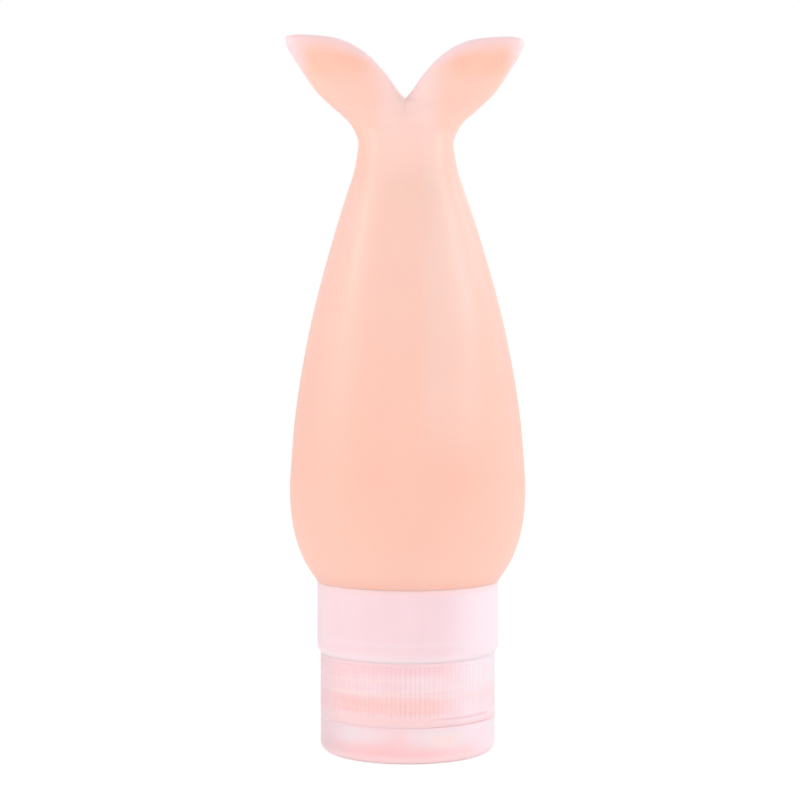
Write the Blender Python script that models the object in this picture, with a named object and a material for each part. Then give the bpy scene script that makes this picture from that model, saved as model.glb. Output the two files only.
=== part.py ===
"""Fish-tail squeeze travel bottle, standing upside down on its flip-top screw cap.

The origin is the middle of the lid's outer face, +Z runs up to the tail and the front faces -Y.
A soft silicone body is gripped between an outer collar and a threaded neck insert. The screw cap
holds a gasket and a slit valve, and its lid swings on a living hinge.
"""

import math

import bmesh
import bpy
from mathutils import Matrix, Vector

MM = 0.001

# Fits shared by every piece
CLEARANCE = 0.3 * MM
CUT_OVERRUN = 1.0 * MM
MERGE_DISTANCE = 0.0005 * MM

# Flip lid
LID_HEIGHT = 6.85 * MM
LID_WALL = 1.3 * MM
LID_PLATE = 1.4 * MM
LID_EDGE_ROUND = 2.1 * MM
SEAL_RING_WALL = 0.9 * MM
SEAL_RING_OVERLAP = 0.9 * MM
PLUG_DEPTH = 1.5 * MM
PLUG_CHAMFER = 0.4 * MM

# Screw cap
SKIRT_HEIGHT = 11.6 * MM
SKIRT_WALL = 1.5 * MM
THREAD_DEPTH = 2.1 * MM
BAND_HEIGHT = 1.6 * MM
RIB_DEPTH = 0.28 * MM
RIB_INSET = 0.06 * MM
RIB_RIM = 0.35 * MM
RIB_COUNT = 120
DECK_THICKNESS = 1.3 * MM
SNAP_RIM_WALL = 0.9 * MM
SNAP_RIM_HEIGHT = 0.8 * MM
NOZZLE_RADIUS = 4.6 * MM
NOZZLE_HEIGHT = 2.5 * MM
NOZZLE_ROUND = 0.7 * MM
ORIFICE_RADIUS = 2.6 * MM
THUMB_NOTCH_HEIGHT = 1.35 * MM
THUMB_NOTCH_DEPTH = 1.1 * MM
THUMB_NOTCH_ANGLE = math.radians(55)
THUMB_AZIMUTH = math.radians(38)

# Living hinge, opposite the thumb notch
HINGE_STANDOFF = 1.0 * MM
HINGE_WIDTH = 9.0 * MM
HINGE_PAD_PROUD = 0.2 * MM
HINGE_PAD_HEIGHT = 2.6 * MM
HINGE_PAD_ROOT = 1.0 * MM
WEB_THICKNESS = 0.4 * MM
WEB_BOW = 0.75 * MM

# Slit valve and its retainer
VALVE_DOME_RADIUS = 3.6 * MM
VALVE_FLANGE = 1.0 * MM
VALVE_FLANGE_WIDTH = 2.4 * MM
VALVE_DOME_RISE = 1.0 * MM
VALVE_MEMBRANE = 0.5 * MM
VALVE_SLIT_LENGTH = 4.4 * MM
VALVE_SLIT_WIDTH = 0.15 * MM
SOCKET_WALL = 1.1 * MM
RETAINER_HEIGHT = 1.2 * MM
RETAINER_CHAMFER = 0.3 * MM

# Gasket
GASKET_THICKNESS = 2.0 * MM

# Threaded neck insert
NECK_BORE = 10.8 * MM
NECK_WALL = 2.4 * MM
NECK_CHAMFER = 0.5 * MM
FLANGE_THICKNESS = 2.1 * MM
INSERT_DEPTH = 12.2 * MM
BARB_HEIGHT = 1.5 * MM
BARB_PROUD = 0.6 * MM
BARB_SETBACK = 4.6 * MM

# Collar
COLLAR_HEIGHT = 13.45 * MM
COLLAR_WALL = 1.5 * MM
COLLAR_LIP = 1.4 * MM
COLLAR_FOOT_ROUND = 0.6 * MM
COLLAR_RIM_ROUND = 0.3 * MM

# Silicone body, with heights taken up from the collar's rim
BODY_WALL = 2.2 * MM
SLEEVE_WALL = 2.1 * MM
SHOULDER_PROUD = 0.2 * MM
SHOULDER_ROUND = 0.3 * MM
BELLY_RADIUS = 22.65 * MM
BELLY_RISE = 19.0 * MM
WAIST_HALF_WIDTH = 9.08 * MM
WAIST_RISE = 83.5 * MM
TAIL_HALF_SPAN = 22.85 * MM
NOTCH_ROUND = 5.5 * MM
CAVITY_TOP_GAP = 2.0 * MM
CAVITY_DOME = 9.0 * MM
TAIL_LEAN = math.radians(0.6)

# Hand-chosen points of the body's outline: (share of the rise, share of the widening)
SHOULDER_TO_BELLY_SHARES = ((0, 0), (0.2, 0.46), (0.4, 0.745), (0.61, 0.915), (0.82, 0.99), (1, 1))
BELLY_TO_WAIST_SHARES = (
    (0, 1), (0.186, 0.929), (0.365, 0.803), (0.544, 0.621), (0.722, 0.385), (0.84, 0.206),
    (0.925, 0.07), (1, 0),
)
# Fluke's outer edge from the waist: (share of the tail's rise, share of its widening)
FLUKE_OUTER_SHARES = (
    (0, 0), (0.085, 0.02), (0.215, 0.135), (0.357, 0.38), (0.5, 0.603), (0.71, 0.822), (0.855, 0.957),
    (0.925, 0.995), (0.97, 0.995),
)
# Fluke's inner edge from the notch: (share of the rise left above it, share of the half span)
FLUKE_INNER_SHARES = (
    (0, 0), (0.118, 0.053), (0.37, 0.147), (0.622, 0.268), (0.811, 0.407), (0.937, 0.565),
    (0.995, 0.76), (1, 0.9), (0.97, 0.965),
)
FLUKE_TIP_SHARES = (0.975, 0.985)
# The tail keeps its proportions: its rise over its half span, and the notch over that rise
TAIL_RISE_SHARE = 0.932
NOTCH_RISE_SHARE = 0.434
# Half depth over half width at shares of the rise from belly to waist
DEPTH_RATIO_SHARES = ((0, 1), (0.25, 0.985), (0.5, 0.95), (0.75, 0.9), (1, 0.86))
# Half depth over the waist's half depth along the fluke
FLUKE_DEPTH_SHARES = (
    (0, 1), (0.12, 0.86), (0.25, 0.7), (0.45, 0.55), (0.7, 0.44), (0.88, 0.36), (0.96, 0.25), (1, 0),
)

# Counts of facets and rows
TURNED_SEGMENTS = 52
INNER_SEGMENTS = 32
QUARTER_COLUMNS = 12
BELLY_ROWS = 13
SHOULDER_ROWS = 6
TAIL_ROWS = 19
DOME_ROWS = 4
ROUND_STEPS = 4

# Radii worked out from the sizes above, from the neck's bore outwards
NECK_RADIUS = NECK_BORE + NECK_WALL
SKIRT_BORE = NECK_RADIUS + THREAD_DEPTH
CAP_RADIUS = SKIRT_BORE + SKIRT_WALL
SLEEVE_BORE = NECK_RADIUS + CLEARANCE
SLEEVE_RADIUS = SLEEVE_BORE + SLEEVE_WALL
COLLAR_RADIUS = SLEEVE_RADIUS + CLEARANCE + COLLAR_WALL
SHOULDER_RADIUS = COLLAR_RADIUS + SHOULDER_PROUD
VALVE_RADIUS = VALVE_DOME_RADIUS + VALVE_FLANGE_WIDTH
SOCKET_RADIUS = VALVE_RADIUS + CLEARANCE
RETAINER_BORE = VALVE_DOME_RADIUS + VALVE_MEMBRANE + CLEARANCE

# Heights worked out from the sizes above
CAP_FLOOR = LID_HEIGHT + CLEARANCE
DECK_TOP = CAP_FLOOR + DECK_THICKNESS
SKIRT_TOP = CAP_FLOOR + SKIRT_HEIGHT
NOZZLE_TIP = CAP_FLOOR - NOZZLE_HEIGHT
COLLAR_FOOT = SKIRT_TOP + CLEARANCE
COLLAR_TOP = COLLAR_FOOT + COLLAR_HEIGHT
VALVE_FOOT = DECK_TOP + CLEARANCE
RETAINER_FOOT = VALVE_FOOT + VALVE_FLANGE + CLEARANCE
GASKET_FOOT = DECK_TOP + CLEARANCE
NECK_RIM = GASKET_FOOT + GASKET_THICKNESS + CLEARANCE
NECK_END = COLLAR_FOOT + COLLAR_LIP + CLEARANCE
INSERT_TOP = COLLAR_FOOT + INSERT_DEPTH
BARB_TOP = INSERT_TOP - BARB_SETBACK + BARB_HEIGHT
SHOULDER = COLLAR_TOP + CLEARANCE
BELLY = COLLAR_TOP + BELLY_RISE
WAIST = COLLAR_TOP + WAIST_RISE
TAIL_RISE = TAIL_HALF_SPAN * TAIL_RISE_SHARE
NOTCH_RISE = TAIL_RISE * NOTCH_RISE_SHARE
HINGE_LINE = LID_HEIGHT + CLEARANCE / 2
HINGE_RADIUS = CAP_RADIUS + HINGE_STANDOFF
HINGE_TURN = THUMB_AZIMUTH + math.pi / 2


def clear_scene():
    for old in list(bpy.data.objects):
        bpy.data.objects.remove(old, do_unlink=True)


def linear(display):
    """A display colour in steps of 255 as the linear colour that shaders take."""
    values = [channel / 255 for channel in display]
    return tuple(v / 12.92 if v <= 0.04045 else ((v + 0.055) / 1.055) ** 2.4 for v in values)


def make_material(name, display, roughness, clear=0.0):
    """A Principled material; clear is how far the plastic lets light through."""
    material = bpy.data.materials.new(name)
    material.use_nodes = True
    shader = material.node_tree.nodes["Principled BSDF"]
    shader.inputs["Base Color"].default_value = (*linear(display), 1)
    shader.inputs["Roughness"].default_value = roughness
    shader.inputs["Metallic"].default_value = 0
    shader.inputs["Transmission Weight"].default_value = clear
    material.diffuse_color = (*linear(display), 1)
    return material


def finish_mesh(bm, name):
    """Merges the seams, faces every normal outwards and returns a smooth-shaded mesh."""
    bmesh.ops.remove_doubles(bm, verts=bm.verts, dist=MERGE_DISTANCE)
    bmesh.ops.recalc_face_normals(bm, faces=bm.faces)
    mesh = bpy.data.meshes.new(name)
    bm.to_mesh(mesh)
    bm.free()
    mesh.shade_smooth()
    mesh.set_sharp_from_angle(angle=math.radians(35))
    return mesh


def place(mesh, name, material=None, parent=None):
    part = bpy.data.objects.new(name, mesh)
    if material:
        mesh.materials.append(material)
    part.parent = parent
    bpy.context.collection.objects.link(part)
    return part


def arc(centre_r, centre_z, radius, start, end, steps=ROUND_STEPS):
    """Points of a quarter round in the (radius, height) plane, angles in degrees."""
    angles = [math.radians(start + (end - start) * i / steps) for i in range(steps + 1)]
    return [(centre_r + radius * math.cos(a), centre_z + radius * math.sin(a)) for a in angles]


def turned(name, profile, segments=TURNED_SEGMENTS):
    """Spins a (radius, height) profile round the Z axis. A profile off the axis is a closed loop."""
    bm = bmesh.new()
    points = [bm.verts.new((r, 0, z)) for r, z in profile]
    edges = [bm.edges.new(pair) for pair in zip(points, points[1:])]
    if profile[0][0] > 0:
        edges.append(bm.edges.new((points[-1], points[0])))
    bmesh.ops.spin(
        bm, geom=points + edges, cent=(0, 0, 0), axis=(0, 0, 1), angle=math.tau,
        steps=segments, use_merge=True,
    )
    return finish_mesh(bm, name)


def block(name, low, high):
    """A plain box between two corners."""
    bm = bmesh.new()
    bmesh.ops.create_cube(bm, size=1)
    size = Vector(high) - Vector(low)
    middle = (Vector(high) + Vector(low)) / 2
    bmesh.ops.transform(bm, matrix=Matrix.Translation(middle) @ Matrix.Diagonal((*size, 1)), verts=bm.verts)
    return finish_mesh(bm, name)


def ring_sector(name, inner, outer, low, high, spread):
    """A slice of a ring round +X, spread wide, between two radii and two heights."""
    bm = bmesh.new()
    corners = [(inner, low), (outer, low), (outer, high), (inner, high)]
    start = Matrix.Rotation(-spread / 2, 3, "Z")
    face = bm.faces.new([bm.verts.new(start @ Vector((r, 0, z))) for r, z in corners])
    bmesh.ops.spin(
        bm, geom=[face], cent=(0, 0, 0), axis=(0, 0, 1), angle=spread, steps=ROUND_STEPS * 3,
        use_duplicate=False,
    )
    return finish_mesh(bm, name)


def combine(part, tool_mesh, operation):
    """Joins or cuts a part with a tool that is kept in the file as a wire guide."""
    tool = place(tool_mesh, tool_mesh.name, parent=part.parent)
    tool.location = part.location
    tool.rotation_euler = part.rotation_euler
    tool.hide_render = True
    tool.hide_set(True)
    tool.display_type = "WIRE"
    modifier = part.modifiers.new(tool_mesh.name, "BOOLEAN")
    modifier.operation = operation
    modifier.solver = "EXACT"
    modifier.object = tool


def smooth_curve(points, count):
    """Samples a Catmull-Rom curve through the points, evenly along its length."""
    path = [Vector(p) for p in points]
    ends = [path[0] * 2 - path[1], *path, path[-1] * 2 - path[-2]]
    fine = []
    for before, start, end, after in zip(ends, ends[1:], ends[2:], ends[3:]):
        for i in range(ROUND_STEPS * 4):
            t = i / (ROUND_STEPS * 4)
            fine.append(0.5 * (
                2 * start + (end - before) * t
                + (2 * before - 5 * start + 4 * end - after) * t * t
                + (3 * start - before - 3 * end + after) * t ** 3
            ))
    fine.append(path[-1])
    lengths = [0]
    for a, b in zip(fine, fine[1:]):
        lengths.append(lengths[-1] + (b - a).length)
    return [at_length(fine, lengths, lengths[-1] * i / (count - 1)) for i in range(count)]


def at_length(points, lengths, target):
    for i in range(1, len(points)):
        if lengths[i] >= target:
            share = (target - lengths[i - 1]) / (lengths[i] - lengths[i - 1])
            return points[i - 1].lerp(points[i], share)
    return points[-1]


def table_value(table, x):
    """Reads a table of (x, value) pairs, easing smoothly between its rows."""
    for (x0, v0), (x1, v1) in zip(table, table[1:]):
        if x <= x1:
            t = (x - x0) / (x1 - x0)
            return v0 + (v1 - v0) * t
    return table[-1][1]


def side_rows():
    """(half width, half depth, height) of the round body from shoulder to waist."""
    widening = BELLY_RADIUS - SHOULDER_RADIUS
    lower = [
        (SHOULDER_RADIUS + w * widening, SHOULDER + h * (BELLY - SHOULDER))
        for h, w in SHOULDER_TO_BELLY_SHARES
    ]
    narrowing = BELLY_RADIUS - WAIST_HALF_WIDTH
    upper = [
        (WAIST_HALF_WIDTH + w * narrowing, BELLY + h * (WAIST - BELLY))
        for h, w in BELLY_TO_WAIST_SHARES
    ]
    outline = smooth_curve(lower, SHOULDER_ROWS)[:-1] + smooth_curve(upper, BELLY_ROWS)
    rows = []
    for width, height in outline:
        share = max(0, (height - BELLY) / (WAIST - BELLY))
        rows.append((width, width * table_value(DEPTH_RATIO_SHARES, share), height))
    return rows


def tail_rows():
    """Rows across the tail, each (outer point, inner point, half depth, closing angle).

    The outer points climb the fluke's outer edge and the inner ones climb the middle plane to the
    notch and then the fluke's inner edge. The closing angle is a quarter turn where the two halves
    are one body and half a turn where a fluke has its own closed section.
    """
    notch = WAIST + NOTCH_RISE
    top = WAIST + TAIL_RISE
    tip = (FLUKE_TIP_SHARES[1] * TAIL_HALF_SPAN, WAIST + FLUKE_TIP_SHARES[0] * TAIL_RISE)
    widening = TAIL_HALF_SPAN - WAIST_HALF_WIDTH
    outer = [
        (WAIST_HALF_WIDTH + w * widening, WAIST + h * TAIL_RISE) for h, w in FLUKE_OUTER_SHARES
    ]
    edge = [(w * TAIL_HALF_SPAN, notch + h * (top - notch)) for h, w in FLUKE_INNER_SHARES]
    outer_points = smooth_curve([*outer, tip], TAIL_ROWS)
    notch_row = round(TAIL_ROWS * NOTCH_RISE / (NOTCH_RISE + TAIL_HALF_SPAN))
    middle = []
    for i in range(notch_row):
        middle.append(Vector((0, WAIST + NOTCH_RISE * i / notch_row)))
    inner_points = middle + smooth_curve([*edge, tip], TAIL_ROWS - notch_row)
    waist_depth = WAIST_HALF_WIDTH * DEPTH_RATIO_SHARES[-1][1]
    rows = []
    for i, (out, inside) in enumerate(zip(outer_points, inner_points)):
        depth = waist_depth * table_value(FLUKE_DEPTH_SHARES, i / (TAIL_ROWS - 1))
        closing = max(0, (inside.y - (notch - NOTCH_ROUND)) / NOTCH_ROUND)
        angle = math.pi if i >= notch_row else math.pi / 2 + math.asin(closing)
        rows.append((out, inside, depth, angle))
    return rows


def cavity_rows(sides):
    """The hollow inside, from the closed dome down to the sleeve that the neck insert fills."""
    dome_top = WAIST - CAVITY_TOP_GAP
    dome_foot = dome_top - CAVITY_DOME
    rows = []
    for width, depth, height in sides:
        if INSERT_TOP + BODY_WALL < height < dome_foot:
            rows.append((width - BODY_WALL, depth - BODY_WALL, height))
    last_width, last_depth, last_height = rows[-1]
    for i in range(1, DOME_ROWS + 1):
        rise = i / DOME_ROWS
        shrink = math.sqrt(1 - rise * rise)
        height = last_height + (dome_top - last_height) * rise
        rows.append((last_width * shrink, last_depth * shrink, height))
    return rows[::-1]


def section(out, inside, depth, angle):
    """Right half of a section, from its middle or inner edge at the back to the same at the front."""
    points = []
    for k in range(-QUARTER_COLUMNS, QUARTER_COLUMNS + 1):
        turn = angle * k / QUARTER_COLUMNS
        across = (1 - math.cos(turn)) / (1 - math.cos(angle))
        x, z = Vector(out).lerp(Vector(inside), across)
        points.append(Vector((x, -depth * math.sin(turn), z)))
    return points


def lean(point):
    """Bends the narrow end a little to the left, as the soft tail stands."""
    share = max(0, (point.z - BELLY) / (WAIST - BELLY))
    angle = TAIL_LEAN * min(1, share)
    rise = point.z - BELLY
    if share <= 0:
        return point
    reach = WAIST - BELLY
    shift = TAIL_LEAN * (rise * share / 2 if share < 1 else rise - reach / 2)
    return Vector((point.x * math.cos(angle) - shift, point.y, point.z - point.x * math.sin(angle)))


def level(half_width, half_depth, height):
    """An elliptical row at one height."""
    return (half_width, height), (0, height), half_depth, math.pi / 2


def bottle_body(material):
    sides = side_rows()
    groove = SLEEVE_BORE + BARB_PROUD
    inner = [(r, r, z) for r, z in [
        (SLEEVE_BORE, INSERT_TOP),
        (SLEEVE_BORE, BARB_TOP + CLEARANCE),
        (groove, BARB_TOP + CLEARANCE),
        (groove, BARB_TOP - BARB_HEIGHT - CLEARANCE),
        (SLEEVE_BORE, BARB_TOP - BARB_HEIGHT - CLEARANCE),
        (SLEEVE_BORE, NECK_END),
        (SLEEVE_RADIUS, NECK_END),
        (SLEEVE_RADIUS, SHOULDER),
        (SHOULDER_RADIUS - SHOULDER_ROUND, SHOULDER),
    ]]
    first_width, first_depth, first_height = sides[0]
    sides[0] = (first_width, first_depth, first_height + SHOULDER_ROUND)
    rows = [level(*row) for row in cavity_rows(sides) + inner + sides[:-1]]
    rows += tail_rows()
    bm = bmesh.new()
    for side in (1, -1):
        grid = []
        for row in rows:
            bent = [lean(Vector((side * p.x, p.y, p.z))) for p in section(*row)]
            grid.append([bm.verts.new(p) for p in bent])
        for low, high in zip(grid, grid[1:]):
            for k in range(2 * QUARTER_COLUMNS):
                bm.faces.new((low[k], low[k + 1], high[k + 1], high[k]))
    return place(finish_mesh(bm, "bottle_body"), "bottle_body", material)


def collar_ring(material):
    inner = COLLAR_RADIUS - COLLAR_WALL
    foot_centre = COLLAR_RADIUS - COLLAR_FOOT_ROUND, COLLAR_FOOT + COLLAR_FOOT_ROUND
    rim_centre = COLLAR_RADIUS - COLLAR_RIM_ROUND, COLLAR_TOP - COLLAR_RIM_ROUND
    profile = [
        (SLEEVE_BORE, COLLAR_FOOT),
        *arc(*foot_centre, COLLAR_FOOT_ROUND, -90, 0),
        *arc(*rim_centre, COLLAR_RIM_ROUND, 0, 90, 2),
        (inner, COLLAR_TOP),
        (inner, COLLAR_FOOT + COLLAR_LIP),
        (SLEEVE_BORE, COLLAR_FOOT + COLLAR_LIP),
    ]
    return place(turned("collar_ring", profile), "collar_ring", material)


def neck_insert(material):
    """Bored tube with a stop flange, a thread zone below it and a barbed barrel above."""
    flange_radius = SKIRT_BORE - CLEARANCE
    profile = [
        (NECK_BORE, NECK_RIM),
        (NECK_RADIUS - NECK_CHAMFER, NECK_RIM),
        (NECK_RADIUS, NECK_RIM + NECK_CHAMFER),
        (NECK_RADIUS, SKIRT_TOP - FLANGE_THICKNESS),
        (flange_radius, SKIRT_TOP - FLANGE_THICKNESS),
        (flange_radius, SKIRT_TOP),
        (NECK_RADIUS, SKIRT_TOP),
        (NECK_RADIUS, BARB_TOP - BARB_HEIGHT),
        (NECK_RADIUS + BARB_PROUD, BARB_TOP - BARB_HEIGHT),
        (NECK_RADIUS, BARB_TOP),
        (NECK_RADIUS, INSERT_TOP - NECK_CHAMFER),
        (NECK_RADIUS - NECK_CHAMFER, INSERT_TOP),
        (NECK_BORE, INSERT_TOP),
    ]
    return place(turned("neck_insert", profile), "neck_insert", material)


def neck_gasket(material, parent):
    profile = [
        (NECK_BORE, GASKET_FOOT),
        (SKIRT_BORE - CLEARANCE, GASKET_FOOT),
        (SKIRT_BORE - CLEARANCE, GASKET_FOOT + GASKET_THICKNESS),
        (NECK_BORE, GASKET_FOOT + GASKET_THICKNESS),
    ]
    return place(turned("neck_gasket", profile, INNER_SEGMENTS), "neck_gasket", material, parent)


def hinge_pad(name, low, high):
    """Flat seat for the hinge web, fused to the wall behind it."""
    return block(
        name,
        (CAP_RADIUS - HINGE_PAD_ROOT, -HINGE_WIDTH / 2, low),
        (CAP_RADIUS + HINGE_PAD_PROUD, HINGE_WIDTH / 2, high),
    )


def rib_sleeve():
    """Ring whose outside is a zigzag of fine upright ribs."""
    crest = CAP_RADIUS - RIB_INSET
    low, high = CAP_FLOOR + BAND_HEIGHT - RIB_RIM, SKIRT_TOP - RIB_RIM
    bore = (SKIRT_BORE + crest - RIB_DEPTH) / 2
    count = RIB_COUNT * 2
    bm = bmesh.new()
    rings = []
    for radius_pair, height in (((bore, bore), low), ((crest, crest - RIB_DEPTH), low),
                                ((crest, crest - RIB_DEPTH), high), ((bore, bore), high)):
        ring = []
        for i in range(count):
            angle = math.tau * i / count
            radius = radius_pair[i % 2]
            ring.append(bm.verts.new((radius * math.cos(angle), radius * math.sin(angle), height)))
        rings.append(ring)
    for ring, following in zip(rings, rings[1:] + rings[:1]):
        for i in range(count):
            j = (i + 1) % count
            bm.faces.new((ring[i], ring[j], following[j], following[i]))
    return finish_mesh(bm, "rib_sleeve")


def cap_base(material, parent):
    """Ribbed skirt, deck, nozzle and valve socket, one moulding."""
    rim_radius = CAP_RADIUS - LID_WALL - CLEARANCE
    core = CAP_RADIUS - RIB_INSET - RIB_DEPTH - RIB_RIM / 2
    socket_top = RETAINER_FOOT + RETAINER_HEIGHT
    nozzle_round = NOZZLE_RADIUS - NOZZLE_ROUND, NOZZLE_TIP + NOZZLE_ROUND
    profile = [
        (ORIFICE_RADIUS, NOZZLE_TIP),
        *arc(*nozzle_round, NOZZLE_ROUND, -90, 0, 3),
        (NOZZLE_RADIUS, CAP_FLOOR),
        (rim_radius - SNAP_RIM_WALL, CAP_FLOOR),
        (rim_radius - SNAP_RIM_WALL, CAP_FLOOR - SNAP_RIM_HEIGHT),
        (rim_radius, CAP_FLOOR - SNAP_RIM_HEIGHT),
        (rim_radius, CAP_FLOOR),
        (CAP_RADIUS, CAP_FLOOR),
        (CAP_RADIUS, CAP_FLOOR + BAND_HEIGHT),
        (core, CAP_FLOOR + BAND_HEIGHT),
        (core, SKIRT_TOP),
        (SKIRT_BORE, SKIRT_TOP),
        (SKIRT_BORE, DECK_TOP),
        (SOCKET_RADIUS + SOCKET_WALL, DECK_TOP),
        (SOCKET_RADIUS + SOCKET_WALL, socket_top),
        (SOCKET_RADIUS, socket_top),
        (SOCKET_RADIUS, DECK_TOP),
        (ORIFICE_RADIUS, DECK_TOP),
    ]
    base = place(turned("cap_base", profile), "cap_base", material, parent)
    base.rotation_euler.z = HINGE_TURN
    combine(base, rib_sleeve(), "UNION")
    combine(base, hinge_pad("base_hinge_pad", CAP_FLOOR, CAP_FLOOR + HINGE_PAD_HEIGHT), "UNION")
    notch = ring_sector(
        "thumb_notch", CAP_RADIUS - THUMB_NOTCH_DEPTH, CAP_RADIUS + CUT_OVERRUN,
        CAP_FLOOR - CUT_OVERRUN, CAP_FLOOR + THUMB_NOTCH_HEIGHT, THUMB_NOTCH_ANGLE,
    )
    notch.transform(Matrix.Rotation(math.pi, 4, "Z"))
    combine(base, notch, "DIFFERENCE")
    return base


def flip_lid(material, parent):
    """Cup-shaped lid with a plug for the orifice and a ring that seals round the nozzle."""
    inner = CAP_RADIUS - LID_WALL
    edge = CAP_RADIUS - LID_EDGE_ROUND, LID_EDGE_ROUND
    plug = ORIFICE_RADIUS - CLEARANCE
    plug_top = NOZZLE_TIP + PLUG_DEPTH
    ring = NOZZLE_RADIUS + CLEARANCE
    ring_top = NOZZLE_TIP + SEAL_RING_OVERLAP
    profile = [
        (0, 0),
        *arc(*edge, LID_EDGE_ROUND, -90, 0),
        (CAP_RADIUS, LID_HEIGHT),
        (inner, LID_HEIGHT),
        (inner, LID_PLATE),
        (ring + SEAL_RING_WALL, LID_PLATE),
        (ring + SEAL_RING_WALL, ring_top),
        (ring, ring_top),
        (ring, LID_PLATE),
        (plug, LID_PLATE),
        (plug, plug_top - PLUG_CHAMFER),
        (plug - PLUG_CHAMFER, plug_top),
        (0, plug_top),
    ]
    mesh = turned("flip_lid", profile)
    lid = place(mesh, "flip_lid", material, parent)
    lid.location = (-HINGE_RADIUS, 0, -HINGE_LINE)
    combine(lid, hinge_pad("lid_hinge_pad", LID_HEIGHT - HINGE_PAD_HEIGHT, LID_HEIGHT), "UNION")
    return lid


def hinge_web(material, parent):
    """Thin strip that bows round the hinge line from the cap's pad to the lid's."""
    seat = CAP_RADIUS + HINGE_PAD_PROUD + CLEARANCE + WEB_THICKNESS / 2
    reach = HINGE_PAD_HEIGHT
    path = [
        (seat, HINGE_LINE - reach), (seat, HINGE_LINE - reach / 2),
        (seat + WEB_BOW, HINGE_LINE),
        (seat, HINGE_LINE + reach / 2), (seat, HINGE_LINE + reach),
    ]
    line = smooth_curve(path, ROUND_STEPS * 3 + 1)
    bm = bmesh.new()
    rows = []
    for i, point in enumerate(line):
        along = (line[min(i + 1, len(line) - 1)] - line[max(i - 1, 0)]).normalized()
        normal = Vector((along.y, -along.x)) * WEB_THICKNESS / 2
        corners = [(point + normal, 1), (point + normal, -1), (point - normal, -1), (point - normal, 1)]
        rows.append([bm.verts.new((p.x, side * HINGE_WIDTH / 2, p.y)) for p, side in corners])
    for low, high in zip(rows, rows[1:]):
        for i in range(4):
            j = (i + 1) % 4
            bm.faces.new((low[i], low[j], high[j], high[i]))
    bm.faces.new(rows[0])
    bm.faces.new(rows[-1])
    web = place(finish_mesh(bm, "hinge_web"), "hinge_web", material, parent)
    web.rotation_euler.z = HINGE_TURN
    return web


def drip_valve(material, parent):
    """Flanged silicone disc with a thin dome, slit crosswise so that it opens under a squeeze."""
    steps = ROUND_STEPS
    crown = VALVE_FOOT + VALVE_DOME_RISE
    under = []
    for i in range(steps + 1):
        share = i / steps
        under.append((VALVE_DOME_RADIUS * share, crown - VALVE_DOME_RISE * share * share))
    over = [(r, z + VALVE_MEMBRANE) for r, z in under]
    flange_top = VALVE_FOOT + VALVE_FLANGE
    profile = [*under, (VALVE_RADIUS, VALVE_FOOT), (VALVE_RADIUS, flange_top)]
    profile += [(VALVE_DOME_RADIUS + VALVE_MEMBRANE, flange_top), *over[::-1]]
    valve = place(turned("drip_valve", profile, INNER_SEGMENTS), "drip_valve", material, parent)
    half, thin = VALVE_SLIT_LENGTH / 2, VALVE_SLIT_WIDTH / 2
    low, high = VALVE_FOOT - CUT_OVERRUN, crown + VALVE_MEMBRANE + CUT_OVERRUN
    combine(valve, block("slit_across", (-half, -thin, low), (half, thin, high)), "DIFFERENCE")
    combine(valve, block("slit_along", (-thin, -half, low), (thin, half, high)), "DIFFERENCE")
    return valve


def valve_retainer(material, parent):
    """Snap ring that holds the valve's flange in its socket."""
    top = RETAINER_FOOT + RETAINER_HEIGHT
    profile = [
        (RETAINER_BORE, RETAINER_FOOT),
        (VALVE_RADIUS, RETAINER_FOOT),
        (VALVE_RADIUS, top - RETAINER_CHAMFER),
        (VALVE_RADIUS - RETAINER_CHAMFER, top),
        (RETAINER_BORE + RETAINER_CHAMFER, top),
        (RETAINER_BORE, top - RETAINER_CHAMFER),
    ]
    mesh = turned("valve_retainer", profile, INNER_SEGMENTS)
    return place(mesh, "valve_retainer", material, parent)


def pivot(name, location, turn=0.0, parent=None):
    """An empty on a joint's axis."""
    empty = bpy.data.objects.new(name, None)
    empty.location = location
    empty.rotation_euler.z = turn
    empty.parent = parent
    bpy.context.collection.objects.link(empty)
    return empty


def build():
    clear_scene()
    silicone = make_material("body silicone", (254, 205, 190), 0.42)
    collar_plastic = make_material("collar plastic", (248, 222, 226), 0.35, 0.35)
    insert_plastic = make_material("insert plastic", (247, 228, 229), 0.3, 0.4)
    gasket_silicone = make_material("gasket silicone", (250, 196, 180), 0.5)
    cap_plastic = make_material("cap plastic", (249, 216, 219), 0.25, 0.45)
    lid_plastic = make_material("lid plastic", (249, 219, 221), 0.25, 0.45)
    web_plastic = make_material("web plastic", (249, 219, 221), 0.3, 0.45)
    valve_silicone = make_material("valve silicone", (245, 240, 238), 0.45, 0.2)
    retainer_plastic = make_material("retainer plastic", (246, 236, 236), 0.3, 0.3)

    bottle_body(silicone)
    collar_ring(collar_plastic)
    neck_insert(insert_plastic)

    cap_axis = pivot("cap_axis", (0, 0, 0))
    neck_gasket(gasket_silicone, cap_axis)
    cap_base(cap_plastic, cap_axis)
    drip_valve(valve_silicone, cap_axis)
    valve_retainer(retainer_plastic, cap_axis)
    hinge_web(web_plastic, cap_axis)

    out = Vector((math.cos(HINGE_TURN), math.sin(HINGE_TURN), 0)) * HINGE_RADIUS
    lid_axis = pivot("lid_axis", (out.x, out.y, HINGE_LINE), HINGE_TURN, cap_axis)
    flip_lid(lid_plastic, lid_axis)


build()
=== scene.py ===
import math

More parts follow.
